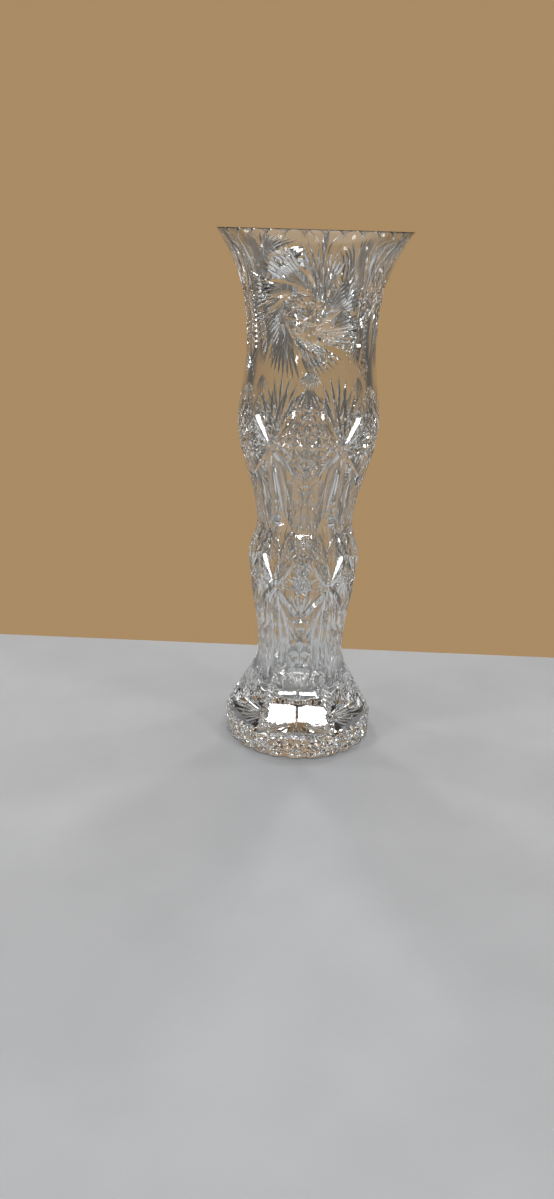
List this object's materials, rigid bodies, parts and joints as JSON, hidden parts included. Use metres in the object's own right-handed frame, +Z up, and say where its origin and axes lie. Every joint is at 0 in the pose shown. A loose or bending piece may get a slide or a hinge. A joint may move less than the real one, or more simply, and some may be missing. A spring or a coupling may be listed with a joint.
{
  "type": "cut crystal vase",
  "caption": "Tall waisted cut-crystal vase with a flared scalloped rim, pinwheel and lattice cutting and a six-sided bell foot.",
  "frame": {"origin": "centre of the foot, on the plane that the vase stands on", "axes": "+Z up along the vase's axis; -Y is the front, where one pinwheel faces"},
  "size_m": [0.126, 0.126, 0.354],
  "materials": {
    "crystal": "polished, clear, colourless"
  },
  "bodies": {
    "root": {"bowl": "crystal", "foot": "crystal"}
  },
  "joints": []
}
